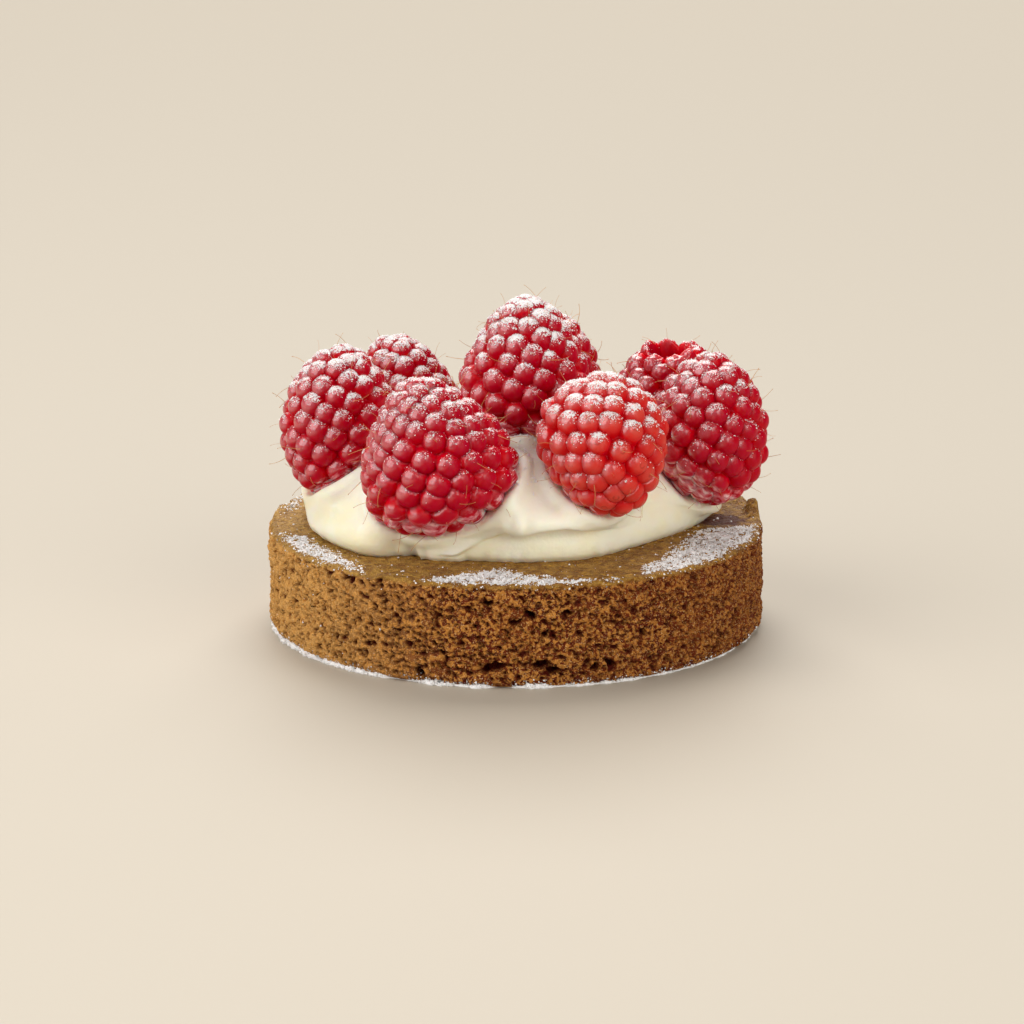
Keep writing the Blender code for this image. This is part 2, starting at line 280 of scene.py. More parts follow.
def sponge_mesh():
    """The section turned round the axis, then pushed in and out by its pores, holes and flakes."""
    section = sponge_section()
    turns = [2 * pi * step / SPONGE_STEPS for step in range(SPONGE_STEPS)]
    bm = bmesh.new()
    top, foot = (bm.verts.new((0, 0, height)) for _, height in (section[0], section[-1]))
    rings = []
    for radius, height in section[1:-1]:
        rings.append([bm.verts.new((radius * cos(turn), radius * sin(turn), height)) for turn in turns])
    for step in range(SPONGE_STEPS):
        after = (step + 1) % SPONGE_STEPS
        bm.faces.new((top, rings[0][step], rings[0][after]))
        for upper, lower in zip(rings, rings[1:]):
            bm.faces.new((upper[step], lower[step], lower[after], upper[after]))
        bm.faces.new((foot, rings[-1][after], rings[-1][step]))
    pores, crusts, sugars, dusts = [], [], [], []
    for vertex in bm.verts:
        point = vertex.co.copy()
        radius = hypot(point.x, point.y)
        bearing = degrees(atan2(point.y, point.x))
        crust = float(smooth_step(SPONGE_HEIGHT - 1.1 * RIM_ROUND, SPONGE_HEIGHT - 0.2 * RIM_ROUND, point.z))
        pore = sugar = 0.0
        if point.z > FOOT_ROUND / 4 and radius > RELIEF_START:
            outward = Vector((point.x, point.y, 0)) / radius
            relief = 0.0
            if crust < 1:
                relief, pore = wall_relief(point, bearing)
            over_foot = float(smooth_step(0.0, FOOT_ROUND, point.z))
            relief *= (1 - crust) * (0.35 + 0.65 * over_foot)
            top_edge = float(smooth_step(SPONGE_HEIGHT - 2.5, SPONGE_HEIGHT - 0.5, point.z))
            vertex.co += outward * (relief - top_edge * rim_bite(point, radius))
            if crust > 0:
                sugar = sugar_on_crust(point, bearing, radius)
                uneven = 0.22 * noise.noise(point * 0.5) + 0.16 * noise.noise(point * 1.0)
                rim = float(smooth_step(SPONGE_RADIUS - 2.6, SPONGE_RADIUS - 1.2, radius))
                heaped = 0.10 + 0.45 * noise.noise(point * 1.3) + 0.2 * noise.noise(point * 2.9)
                heap = sugar * max(0.0, heaped)
                vertex.co.z += crust * (uneven + heap * (1 - 0.6 * rim) + rim * crag_at(bearing))
        if point.z < FOOT_SUGAR_HEIGHT and radius > FOOT_SUGAR_RADIUS:
            low = float(smooth_step(FOOT_SUGAR_HEIGHT, 0.4, point.z))
            sugar = max(sugar, 0.9 * low * icing_at_foot(bearing))
        at_left = float(smooth_step(0, -35, point.x)) * (radius > 30)
        stray = 0.012 * crust + 0.004 * (1 - crust) * at_left
        dusts.append(max(stray, sugar * (0.25 + 0.75 * crust)))
        pores.append(pore * (1 - crust))
        crusts.append(crust)
        sugars.append(sugar)
    mesh = bpy.data.meshes.new("sponge_crumb")
    bm.to_mesh(mesh)
    bm.free()
    mesh.transform(Matrix.Scale(MM, 4))
    mesh.shade_smooth()
    store(mesh, "pore", pores)
    store(mesh, "crust", crusts)
    store(mesh, "sugar", sugars)
    store(mesh, "dust", dusts)
    return mesh


class Wire:
    """An output in a node tree. Arithmetic on wires adds Math nodes, or Vector Math for vectors."""

    def __init__(self, socket):
        self.socket = socket

    def output(self, name):
        return Wire(self.socket.node.outputs[name])

    def __add__(self, other):
        return calc("ADD", self, other)

    def __radd__(self, other):
        return calc("ADD", other, self)

    def __sub__(self, other):
        return calc("SUBTRACT", self, other)

    def __rsub__(self, other):
        return calc("SUBTRACT", other, self)

    def __mul__(self, other):
        return calc("MULTIPLY", self, other)

    def __rmul__(self, other):
        return calc("MULTIPLY", other, self)

    def __truediv__(self, other):
        return calc("DIVIDE", self, other)

    def __pow__(self, other):
        return calc("POWER", self, other)


def is_vector(value):
    if isinstance(value, Wire):
        return value.socket.type in ("VECTOR", "RGBA")
    return isinstance(value, (tuple, Vector))


def calc(operation, *values):
    """A Math node, or a Vector Math node where a value is a vector."""
    tree = next(value.socket.id_data for value in values if isinstance(value, Wire))
    kind = "ShaderNodeVectorMath" if any(map(is_vector, values)) else "ShaderNodeMath"
    return add(tree, kind, *values, operation=operation)


def add(tree, kind, *values, **settings):
    """Adds a node and fills its inputs in order, each with a wire or a value; None leaves one alone."""
    new = tree.nodes.new(kind)
    for name, setting in settings.items():
        setattr(new, name, setting)
    sockets = [socket for socket in new.inputs if socket.enabled]
    for socket, value in zip(sockets, values):
        if isinstance(value, Wire):
            tree.links.new(value.socket, socket)
        elif value is not None:
            if socket.type == "RGBA":
                value = (*value, 1.0)
            elif socket.type == "VECTOR" and not isinstance(value, (tuple, Vector)):
                value = (value, value, value)
            socket.default_value = value
    return Wire(next((socket for socket in new.outputs if socket.enabled), None))


def fade(value, low, high):
    """0 below low, 1 above high, and smooth between."""
    return add(value.socket.id_data, "ShaderNodeMapRange", value, low, high, 0.0, 1.0,
               interpolation_type="SMOOTHSTEP")


def blend_colours(part, first, second):
    """The first colour where part is 0, the second where it is 1."""
    tree = next(value.socket.id_data for value in (part, first, second) if isinstance(value, Wire))
    return add(tree, "ShaderNodeMix", part, first, second, data_type="RGBA")


def grain(point, scale, detail=2.0):
    """Noise from 0 to 1 with that many waves to the millimetre."""
    return add(point.socket.id_data, "ShaderNodeTexNoise", point, scale, detail, noise_dimensions="3D")


def split(vector):
    wire = add(vector.socket.id_data, "ShaderNodeSeparateXYZ", vector)
    return wire.output("X"), wire.output("Y"), wire.output("Z")


def stored(tree, name):
    """A number that was kept on the mesh under this name."""
    wire = add(tree, "ShaderNodeAttribute", attribute_name=name)
    return wire.output("Fac")


def new_finish(name):
    """A material's tree, its shader, and the point on the surface in millimetres."""
    material = bpy.data.materials.new(name)
    material.use_nodes = True
    tree = material.node_tree
    shader = tree.nodes["Principled BSDF"]
    point = add(tree, "ShaderNodeTexCoord").output("Object") * (1 / MM)
    return material, tree, shader, point


def feed(shader, name, value):
    """Links a wire to the shader's socket, or sets a constant on it."""
    socket = shader.inputs[name]
    if isinstance(value, Wire):
        shader.id_data.links.new(value.socket, socket)
    elif socket.type == "RGBA":
        socket.default_value = (*value, 1.0)
    else:
        socket.default_value = value


def bump(shader, height, depth):
    """Relief of that many millimetres under the shader's normal, at full strength."""
    feed(shader, "Normal", add(shader.id_data, "ShaderNodeBump", 1.0, depth * MM, None, height))


ICING_WHITE = (0.96, 0.95, 0.94)
CRUMB = (0.62, 0.255, 0.048)
# Painted shade in the crevices between the crumb's lumps
CRUMB_PAINTED_SHADE_BETWEEN_LUMPS = (0.13, 0.013, 0.001)
CRUMB_PATCHES = (0.33, 0.090, 0.010)
# Painted light: the crumb is painted paler on the left, the side that faces the light
CRUMB_PAINTED_LIGHT_LEFT = (0.88, 0.47, 0.13)
# Painted shade: the crumb is painted darker on the right, away from the light
CRUMB_PAINTED_SHADE_RIGHT = (0.20, 0.035, 0.003)
# Painted glints: small bright specks on the crumb
CRUMB_PAINTED_GLINTS = (0.90, 0.58, 0.26)
# Painted shade in the pores and torn holes
PORE_PAINTED_SHADE = (0.085, 0.005, 0.0005)
CRUST_BROWN = (0.27, 0.105, 0.004)
CRUST_GOLD = (0.56, 0.30, 0.040)
# Painted light: the crust is painted paler on the left, the side that faces the light
CRUST_PAINTED_LIGHT_LEFT = (0.60, 0.36, 0.075)
CRUST_SPOTS = (0.12, 0.036, 0.002)
CRUST_SPECKS = (0.70, 0.44, 0.13)
# Painted shade in the creases between the crust's pebbles
CRUST_PAINTED_SHADE_IN_CREASES = (0.14, 0.046, 0.002)
# A juice stain and a painted shadow: dark red on the crust under the right berry
JUICE_AND_SHADOW = (0.075, 0.004, 0.004)
JUICE_AND_SHADOW_PLACE = (33.5, 0.4, 16.6)


def sponge_finish():
    """Brown crumb and a golden crust, with painted light at their left, painted shade at the crumb's right,
    in its dark pores and in the creases, painted glints on the crumb, a juice stain with a painted shadow
    under a berry, and sugar over both.
    """
    material, tree, shader, point = new_finish("ginger_sponge")
    pore, crust, sugar = (stored(tree, name) for name in ("pore", "crust", "sugar"))
    coarse = grain(point, 0.16)
    middle = grain(point, 0.7, 3.0)
    fine = grain(point, 1.9, 3.0)
    speck = grain(point, 4.5)
    across, _, _ = split(point)
    lumps = add(tree, "ShaderNodeTexVoronoi", point + middle * 1.2, 1.25, 1.0)
    # Painted shade in the crevices between the crumb's lumps
    shaded_between_lumps = fade(lumps + 2.0 * (fine - 0.5), 0.54, 0.98)
    crumb = blend_colours(shaded_between_lumps, CRUMB, CRUMB_PAINTED_SHADE_BETWEEN_LUMPS)
    crumb = blend_colours(fade(coarse, 0.4, 0.65) * 0.3, crumb, CRUMB_PATCHES)
    # Painted light: paler crumb on the left, where the light falls
    crumb = blend_colours(fade(across, -8, -38) * fade(fine, 0.32, 0.48) * 0.8, crumb, CRUMB_PAINTED_LIGHT_LEFT)
    # Painted shade: darker crumb on the right, away from the light
    crumb = blend_colours(fade(across, 0, 36) * 0.3, crumb, CRUMB_PAINTED_SHADE_RIGHT)
    # Painted glints on the crumb
    crumb = blend_colours(fade(speck, 0.58, 0.68) * 0.6, crumb, CRUMB_PAINTED_GLINTS)
    # Painted shade in the pores and torn holes
    crumb = blend_colours(fade(pore, 0.0, 0.75), crumb, PORE_PAINTED_SHADE)
    top = blend_colours(fade(middle, 0.36, 0.60), CRUST_BROWN, CRUST_GOLD)
    # Painted light: paler crust on the left, where the light falls
    top = blend_colours(fade(across, -6, -36) * 0.5, top, CRUST_PAINTED_LIGHT_LEFT)
    top = blend_colours(fade(fine, 0.48, 0.34) * 0.7, top, CRUST_SPOTS)
    top = blend_colours(fade(speck, 0.56, 0.66) * 0.6, top, CRUST_SPECKS)
    pebbles = add(tree, "ShaderNodeTexVoronoi", point + middle * 0.8, 0.95, 1.0)
    # Painted shade in the creases between the crust's pebbles
    top = blend_colours(fade(pebbles, 0.42, 0.75) * 0.35, top, CRUST_PAINTED_SHADE_IN_CREASES)
    # Juice stain and painted shadow under the right berry
    stained_and_shaded = fade(calc("DISTANCE", point, JUICE_AND_SHADOW_PLACE) + 3.0 * (middle - 0.5), 5.0, 2.6)
    top = blend_colours(stained_and_shaded * 0.9, top, JUICE_AND_SHADOW)
    colour = blend_colours(crust, crumb, top)
    clumps = 0.60 * sugar + 1.5 * (grain(point, 0.8, 3.0) - 0.5) + 1.4 * (grain(point, 2.6, 2.0) - 0.5)
    cover = fade(sugar, 0.0, 0.12) * fade(clumps, 0.44, 0.56)
    colour = blend_colours(cover, colour, ICING_WHITE)
    feed(shader, "Base Color", colour)
    feed(shader, "Roughness", 0.62 + 0.3 * cover)
    feed(shader, "Specular IOR Level", 0.14 + 0.2 * crust)
    bumps = blend_colours(crust, lumps * -0.7, pebbles * -0.7)
    bump(shader, 0.9 * middle + fine + 0.7 * speck + 0.8 * cover * speck + bumps, 0.55)
    return material


noise.seed_set(CRUMB_SEED)
sponge = made_piece("sponge_crumb", sponge_mesh())
sponge.data.materials.append(sponge_finish())
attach(sponge, "root")
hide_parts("sponge")


# Raspberries
# Eight fresh raspberries: each is a shell of small juicy beads round a hollow, on which a few dry
# golden hairs are left. They were set in the cream by hand, one with its hull end up.

Raspberry = namedtuple("Raspberry", "middle half_width length spacing taper tip turn")
RASPBERRIES = {
    "raspberry_front_left": Raspberry((-13.1, -22.0, 33.6), 12.1, 26.0, 4.1, 0.38, (-0.28, -0.12, 1.0), 0.4),
    "raspberry_front_right": Raspberry((13.9, -21.0, 34.4), 10.6, 23.8, 4.1, 0.15, (0.28, -0.5, -0.9), 1.9),
    "raspberry_left": Raspberry((-28.6, 1.8, 32.5), 9.9, 26.2, 4.0, 0.08, (0.03, 0.2, 1.0), 2.7),
    "raspberry_right": Raspberry((31.2, -3.8, 33.0), 9.8, 25.2, 4.0, 0.12, (0.0, 0.15, 1.0), 3.3),
    "raspberry_middle": Raspberry((1.6, -1.8, 41.3), 10.9, 26.8, 4.2, 0.26, (0.02, 0.05, 1.0), 4.6),
    "raspberry_back": Raspberry((4.9, 20.6, 35.9), 9.5, 24.0, 4.0, 0.05, (-0.1, 0.2, 1.0), 5.2),
    "raspberry_back_left": Raspberry((-18.4, 19.4, 32.5), 9.0, 22.5, 3.8, 0.18, (-0.3, 0.2, 1.0), 6.1),
    "raspberry_back_right": Raspberry((25.7, 15.8, 33.2), 9.4, 20.5, 3.8, 0.12, (0.05, 0.1, -1.0), 7.4),
}
PALE_RASPBERRY = "raspberry_front_right"
OPEN_RASPBERRY = "raspberry_back_right"
GOLDEN_ANGLE = pi * (3 - sqrt(5))
BALL_SUBDIVISIONS = 7
# A bead's radius as a share of the spacing, the chance in it, and how unevenly a bead is dented
BEAD_RADIUS = 0.535
BEAD_SIZES = (0.90, 1.10)
BEAD_DENTS = 0.24
# How fast the skin wraps round a bead, and how far down its side it goes, in radians
BEAD_WRAP = 1.12
BEAD_SIDE = 1.30
CLEFT_DEPTH = 0.7
MOST_SUNK = 0.45
HOLLOW_DEPTH = 6.0
TORN_LIP = 3.0
# A hair's way out of its bead, and its thickness at the root and lost towards the tip
HAIR_PATH = ((0, 0, -0.5), (0.15, 0, 1.3), (1.0, 0, 2.3))
HAIR_THICKNESS = 0.048
HAIR_TAPER = 0.026
HAIR_LEAN = 0.7
HAIR_LENGTHS = (0.6, 1.25)
HAIR_SHARE = 0.55
# How much icing sugar fell on a berry, where it isn't 1, and the way to the light at the upper left, whose
# side of each bead gets a painted sheen
SUGAR_SHARES = {
    "raspberry_front_left": 0.78,
    "raspberry_middle": 1.1,
    "raspberry_right": 0.75,
    "raspberry_back_right": 0.45,
}
LIGHT_FROM = (-0.60, -0.42, 0.68)
# Colours of the flesh: in the clefts, painted brighter as a glow of light through the flesh; on a bead's
# sides; and on its crown, painted a little paler as a sheen
RIPE_FLESH = ((0.58, 0.0, 0.009), (0.42, 0.0, 0.012), (0.44, 0.004, 0.028))
PALE_FLESH = ((0.62, 0.0, 0.006), (0.58, 0.018, 0.015), (0.64, 0.095, 0.065))
SCAR_BROWN = (0.20, 0.02, 0.01)
# Pink of the painted sheen, and of cream smeared on a berry
SHEEN_AND_SMEAR_PINK = (0.66, 0.24, 0.28)
SMEAR_WHITE = (0.90, 0.72, 0.70)
SUGARED_WHITE = (0.94, 0.88, 0.89)
HAIR_BROWN = (0.50, 0.16, 0.05)
HAIR_STRAW = (0.62, 0.36, 0.12)


def joined(tree, x, y, z):
    return add(tree, "ShaderNodeCombineXYZ", x, y, z)


def chance(tree, number, seed, low=0.0, high=1.0):
    """A random number for each bead, from low to high."""
    return add(tree, "FunctionNodeRandomValue", low, high, number, seed, data_type="FLOAT")


def new_rule(name, inputs):
    """A Geometry Nodes tree with named inputs; gives the tree and a wire for each input."""
    tree = bpy.data.node_groups.new(name, "GeometryNodeTree")
    tree.interface.new_socket("Geometry", in_out="OUTPUT", socket_type="NodeSocketGeometry")
    for label, kind in inputs:
        tree.interface.new_socket(label, in_out="INPUT", socket_type=kind)
    start = tree.nodes.new("NodeGroupInput")
    return tree, [Wire(start.outputs[label]) for label, _ in inputs]


def end_rule(tree, geometry):
    """Gives the tree its output."""
    end = tree.nodes.new("NodeGroupOutput")
    tree.links.new(geometry.socket, end.inputs[0])


def built(tree, settings, start=None):
    """The plain mesh that a tree makes with these settings."""
    holder = made_piece("being_built", start or bpy.data.meshes.new("empty"))
    rule = holder.modifiers.new("rule", "NODES")
    rule.node_group = tree
    for item in tree.interface.items_tree:
        if item.in_out == "INPUT" and item.name in settings:
            rule[item.identifier] = settings[item.name]
    depsgraph = bpy.context.evaluated_depsgraph_get()
    mesh = bpy.data.meshes.new_from_object(
        holder.evaluated_get(depsgraph), preserve_all_data_layers=True, depsgraph=depsgraph
    )
    bpy.data.objects.remove(holder)
    if None in list(mesh.materials):
        mesh.materials.pop(index=list(mesh.materials).index(None))
    return mesh


def raspberry_rule():
    """A raspberry in millimetres with its tip along +Z: beads on a golden-angle spiral, and hairs."""
    tree, (half_width, length, taper, spacing, turn, open_hull, flesh, straw) = new_rule("raspberry", (
        ("Half Width", "NodeSocketFloat"), ("Length", "NodeSocketFloat"), ("Taper", "NodeSocketFloat"),
        ("Spacing", "NodeSocketFloat"), ("Turn", "NodeSocketFloat"), ("Open Hull", "NodeSocketFloat"),
        ("Flesh", "NodeSocketMaterial"), ("Hair", "NodeSocketMaterial"),
    ))
    half_length = length * 0.5
    position = add(tree, "GeometryNodeInputPosition")
    index = add(tree, "GeometryNodeInputIndex")

    def skin(direction):
        x, y, z = split(direction)
        swell = half_width * (1 - taper * z)
        return joined(tree, x * swell, y * swell, z * half_length)

    def outward(place):
        squeeze = joined(tree, half_width, half_width, half_length)
        return calc("NORMALIZE", calc("DIVIDE", calc("DIVIDE", place, squeeze), squeeze))

    # The beads' places on the skin
    area = 4 * pi * half_width ** (4 / 3) * half_length ** (2 / 3)
    count = calc("ROUND", area / (sqrt(0.75) * spacing ** 2))
    spread = calc("SQRT", calc("DIVIDE", 4 * pi, count))
    height = 1 - 2 * (index + 0.5) / count + 0.14 * spread * calc("SINE", 5.3 * index + turn)
    height = calc("MINIMUM", 0.995, calc("MAXIMUM", -0.995, height))
    bearing = index * GOLDEN_ANGLE + turn + 0.16 * spread * calc("SINE", 7.1 * index + 2 * turn)
    ring = calc("SQRT", 1 - height * height)
    direction = joined(tree, ring * calc("COSINE", bearing), ring * calc("SINE", bearing), height)
    beads = add(tree, "GeometryNodePoints", count, skin(direction))

    # A fine ball whose points wrap round the nearest bead
    ball = add(tree, "GeometryNodeMeshIcoSphere", 1.0, BALL_SUBDIVISIONS)
    place = skin(position)
    nearest = add(tree, "GeometryNodeSampleNearest", beads, place)
    bead = add(tree, "GeometryNodeSampleIndex", beads, position, nearest, data_type="FLOAT_VECTOR")
    up = outward(bead)
    away = place - bead
    away = away - up * calc("DOT_PRODUCT", away, up)
    reach = calc("LENGTH", away)
    sideways = calc("NORMALIZE", away)
    dented = 1 + BEAD_DENTS * (add(tree, "ShaderNodeTexNoise", place + up * 3.0, 0.42, 1.0) - 0.5)
    radius = BEAD_RADIUS * spacing * chance(tree, nearest, 1, *BEAD_SIZES) * dented
    angle = calc("MINIMUM", BEAD_WRAP * reach / radius, BEAD_SIDE)
    cleft = calc("MAXIMUM", reach - 0.5 * spacing, 0.0)
    sunk = radius + CLEFT_DEPTH * cleft + chance(tree, nearest, 2, 0.0, MOST_SUNK)
    top = bead - up * sunk
    place = top + (sideways * calc("SINE", angle) + up * calc("COSINE", angle)) * radius

    # The hollow at the hull end, with a torn lip
    x, y, z = split(place)
    across = calc("LENGTH", joined(tree, x, y, 0.0))
    tear = add(tree, "ShaderNodeTexNoise", place, 0.5, 3.0) - 0.5
    at_hull = open_hull * fade(z, -0.3 * half_length, -0.7 * half_length)
    hollow = HOLLOW_DEPTH * fade(across + tear * 1.6, 3.9, 2.3)
    lip = TORN_LIP * tear * fade(across, 2.6, 4.0) * fade(across, 6.5, 4.6)
    place = joined(tree, x, y, z + at_hull * (hollow + lip))

    shell = add(tree, "GeometryNodeStoreNamedAttribute", ball, None, "bead", calc("COSINE", angle))
    shell = add(tree, "GeometryNodeStoreNamedAttribute", shell, None, "ripe", chance(tree, nearest, 3))
    shell = add(tree, "GeometryNodeSetPosition", shell, None, place)
    shell = add(tree, "GeometryNodeSetShadeSmooth", shell)
    shell = add(tree, "GeometryNodeSetMaterial", shell, None, flesh)

    # One thin bent hair, and copies of it on some of the beads
    stem = add(tree, "GeometryNodeCurveQuadraticBezier", 6, *HAIR_PATH)
    along = add(tree, "GeometryNodeSplineParameter")
    thin = HAIR_THICKNESS - HAIR_TAPER * along + HAIR_TAPER * fade(along, 0.9, 1.0)
    profile = add(tree, "GeometryNodeCurvePrimitiveCircle", 4, None, None, None, 1.0)
    stem = add(tree, "GeometryNodeCurveToMesh", stem, profile, thin, True)
    upright = add(tree, "FunctionNodeAlignRotationToVector", None, 1.0, outward(position), axis="Z")
    lean = add(tree, "FunctionNodeRandomValue", (-HAIR_LEAN, -HAIR_LEAN, 0.0), (HAIR_LEAN, HAIR_LEAN, 6.3),
               index, 4, data_type="FLOAT_VECTOR")
    lean = add(tree, "FunctionNodeEulerToRotation", lean)
    turned = add(tree, "FunctionNodeRotateRotation", upright, lean, rotation_space="LOCAL")
    kept = add(tree, "FunctionNodeCompare", chance(tree, index, 5), HAIR_SHARE, operation="LESS_THAN")
    hairs = add(tree, "GeometryNodeInstanceOnPoints", beads, kept, stem, None, None, turned,
                chance(tree, index, 6, *HAIR_LENGTHS))
    hairs = add(tree, "GeometryNodeRealizeInstances", hairs)
    hairs = add(tree, "GeometryNodeSetShadeSmooth", hairs)
    hairs = add(tree, "GeometryNodeSetMaterial", hairs, None, straw)

    both = tree.nodes.new("GeometryNodeJoinGeometry")
    for part in (hairs, shell):
        tree.links.new(part.socket, both.inputs[0])
    end_rule(tree, Wire(both.outputs[0]))
    return tree


def raspberry_finish(name, cleft_glow, flesh, crown):
    """Translucent flesh with a painted glow in the clefts, and a painted sheen on the bead crowns and on the
    side facing the light, with a scar on some beads, icing sugar and smears.
    """
    material, tree, shader, point = new_finish(name)
    bead, ripe, dust, painted_sheen, smear = (
        stored(tree, part) for part in ("bead", "ripe", "dust", "painted_sheen", "smear")
    )
    patches = grain(point, 0.45)
    clumps = grain(point, 1.7, 3.0)
    specks = grain(point, 4.6, 2.0)
    # Painted glow and sheen: the clefts are painted a brighter red, for light through the flesh, and each
    # crown a little paler
    colour = blend_colours(fade(bead, 0.25, 0.75), cleft_glow, flesh)
    colour = blend_colours(fade(bead, 0.6, 1.0) * (0.2 + 0.5 * ripe), colour, crown)
    ring = fade(bead, 0.955, 0.975) * fade(bead, 0.996, 0.985)
    scar = ring * fade(ripe, 0.75, 0.8) * fade(clumps, 0.4, 0.6)
    colour = blend_colours(scar * 0.4, colour, SCAR_BROWN)
    # Painted sheen: pale pink on the side of each bead that faces the light
    sheen_amount = painted_sheen * (0.35 + 0.5 * fade(patches, 0.35, 0.65) + 0.3 * fade(specks, 0.4, 0.6))
    colour = blend_colours(sheen_amount * 0.4, colour, SHEEN_AND_SMEAR_PINK)
    laid = dust * (0.25 + 1.3 * patches)
    grains = 0.7 * laid + 0.8 * (clumps - 0.5) + 1.7 * (specks - 0.5)
    cover = fade(laid, 0.05, 0.3) * fade(grains, 0.50, 0.62)
    x, y, z = split(point)
    streaks = grain(joined(tree, 0.6 * x + 0.6 * y, 0.6 * z, 5.0 * smear), 0.9, 4.0)
    milky = fade(smear, 0.0, 0.5) * fade(streaks + 0.12 * smear, 0.47, 0.66) * 0.8
    smeared = blend_colours(fade(streaks, 0.55, 0.68), SHEEN_AND_SMEAR_PINK, SMEAR_WHITE)
    colour = blend_colours(milky, colour, smeared)
    colour = blend_colours(cover, colour, SUGARED_WHITE)
    feed(shader, "Base Color", colour)
    feed(shader, "Roughness", 0.30 + 0.5 * cover + 0.15 * milky)
    # Reflection and coat are kept mostly to the side that faces the light, under the painted sheen
    feed(shader, "Specular IOR Level", 0.07 + 0.25 * painted_sheen)
    feed(shader, "Coat Weight", (0.07 + 0.93 * fade(painted_sheen, 0.0, 0.5)) * (1 - cover))
    feed(shader, "Coat Roughness", 0.09)
    feed(shader, "Coat IOR", 1.75)
    feed(shader, "Subsurface Weight", 1.0 - 0.75 * cover)
    feed(shader, "Subsurface Radius", (1.0, 0.10, 0.08))
    feed(shader, "Subsurface Scale", 3.5 * MM)
    bump(shader, specks * (0.25 + 2.0 * cover) + milky * streaks, 0.12)
    return material


def hair_finish():
    """Dry golden brown."""
    material, _, shader, point = new_finish("raspberry_hair")
    feed(shader, "Base Color", blend_colours(grain(point, 0.8), HAIR_BROWN, HAIR_STRAW))
    feed(shader, "Roughness", 0.45)
    return material


def berry_place(berry):
    """Moves a berry that points up at the origin to its middle and turns its tip the right way."""
    turn = Vector(berry.tip).to_track_quat("Z", "Y").to_matrix().to_4x4()
    return Matrix.Translation(Vector(berry.middle) * MM) @ turn


def settled_dust_and_sheen(mesh, middle):
    """How much sugar lies on each vertex, and how much painted sheen it has on the side that faces the light
    at the upper left.
    """
    count = len(mesh.vertices)
    normals, points = np.empty(count * 3, np.float32), np.empty(count * 3, np.float32)
    beads = np.empty(count, np.float32)
    mesh.vertex_normals.foreach_get("vector", normals)
    mesh.vertices.foreach_get("co", points)
    mesh.attributes["bead"].data.foreach_get("value", beads)
    normals = normals.reshape(-1, 3)
    away = points.reshape(-1, 3) / MM - np.array(middle)
    high = smooth_step(-0.75, 0.75, away[:, 2] / np.linalg.norm(away, axis=1))
    dust = smooth_step(0.05, 0.9, normals[:, 2]) * (0.2 + 0.8 * high) * smooth_step(0.25, 0.75, beads)
    # Painted sheen: the side of each bead that faces the light at the upper left
    painted_sheen = smooth_step(0.38, 0.88, normals @ np.array(LIGHT_FROM)) * smooth_step(0.35, 0.8, beads)
    return dust + 0.05 * painted_sheen, painted_sheen


raspberry = raspberry_rule()
ripe_flesh = raspberry_finish("raspberry_flesh", *RIPE_FLESH)
pale_flesh = raspberry_finish("pale_raspberry_flesh", *PALE_FLESH)
straw = hair_finish()
berries = []
for name, berry in RASPBERRIES.items():
    pale = name == PALE_RASPBERRY
    mesh = built(raspberry, {
        "Half Width": berry.half_width,
        "Length": berry.length,
        "Taper": berry.taper,
        "Spacing": berry.spacing,
        "Turn": berry.turn,
        "Open Hull": float(name == OPEN_RASPBERRY),
        "Flesh": pale_flesh if pale else ripe_flesh,
        "Hair": straw,
    })
    mesh.transform(berry_place(berry) @ Matrix.Scale(MM, 4))
    dust, painted_sheen = settled_dust_and_sheen(mesh, berry.middle)
    store(mesh, "dust", dust * SUGAR_SHARES.get(name, 1.0))
    store(mesh, "painted_sheen", painted_sheen)
    piece = made_piece(name + "_drupelets", mesh)
    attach(piece, "root")
    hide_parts(name)
    berries.append(piece)


# Cream
# One spoonful of thick vanilla cream, folded over itself as it left the spoon. The berries have
# pressed dents into it and squeezed soft lips up beside them, and it has smeared them in places.

CREAM_STEPS = 480
ROWS_TO_A_PART = 9
MOUND_HEIGHT = 18.0
# Edge of the cream on the sponge, as (bearing, radius)
CREAM_EDGE = (
    (-180, 33.8), (-163, 33.8), (-147, 33.4), (-138, 32.8), (-133.5, 31.2), (-130, 28.6), (-125, 28.0),
    (-120, 28.4), (-112, 27.2), (-104, 26.3), (-92, 26.4), (-78, 26.6), (-62, 26.8), (-44, 25.6),
    (-24, 26.8), (-4, 30.4), (12, 33.8), (36, 34.6), (66, 35.0), (96, 36.2), (128, 35.0), (155, 35.6),
)
# Section of the mound from its foot up: (share of the edge radius, share of the height)
CREAM_SECTION = (
    (0.97, 0.0), (1.0, 0.055), (1.012, 0.14), (1.0, 0.22), (0.972, 0.30), (0.945, 0.38), (0.885, 0.48),
    (0.79, 0.60), (0.66, 0.72), (0.50, 0.83), (0.36, 0.915), (0.20, 0.975), (0.08, 1.0),
)
# Where the mound sags: how far, at which bearing, and how far round from there
SAG = (1.2, -165, 45)
# How far the front fold stands out at each part of the section, and where it starts and ends
FOLD = {2: -0.3, 3: -0.5, 4: 0.4, 5: 1.6, 6: 2.0, 7: 1.7, 8: 1.0}
FOLD_BEARINGS = (-126, -106, -50, -26)
LUMPS = 0.5
# The torn edge on the crust: how deep its scallops are, and where it is torn most, to either side
SCALLOP = 2.4
TORN_BEARING = -119
TORN_REACH = 14
# How deep a berry's dent reaches into the berry, and the lip that it squeezed up beside it
DENT_OVERLAP = 1.0
SQUEEZED_LIP = 1.0
LIP_AWAY = 0.6
LIP_WIDTH = 1.0
SMOOTHINGS = 2
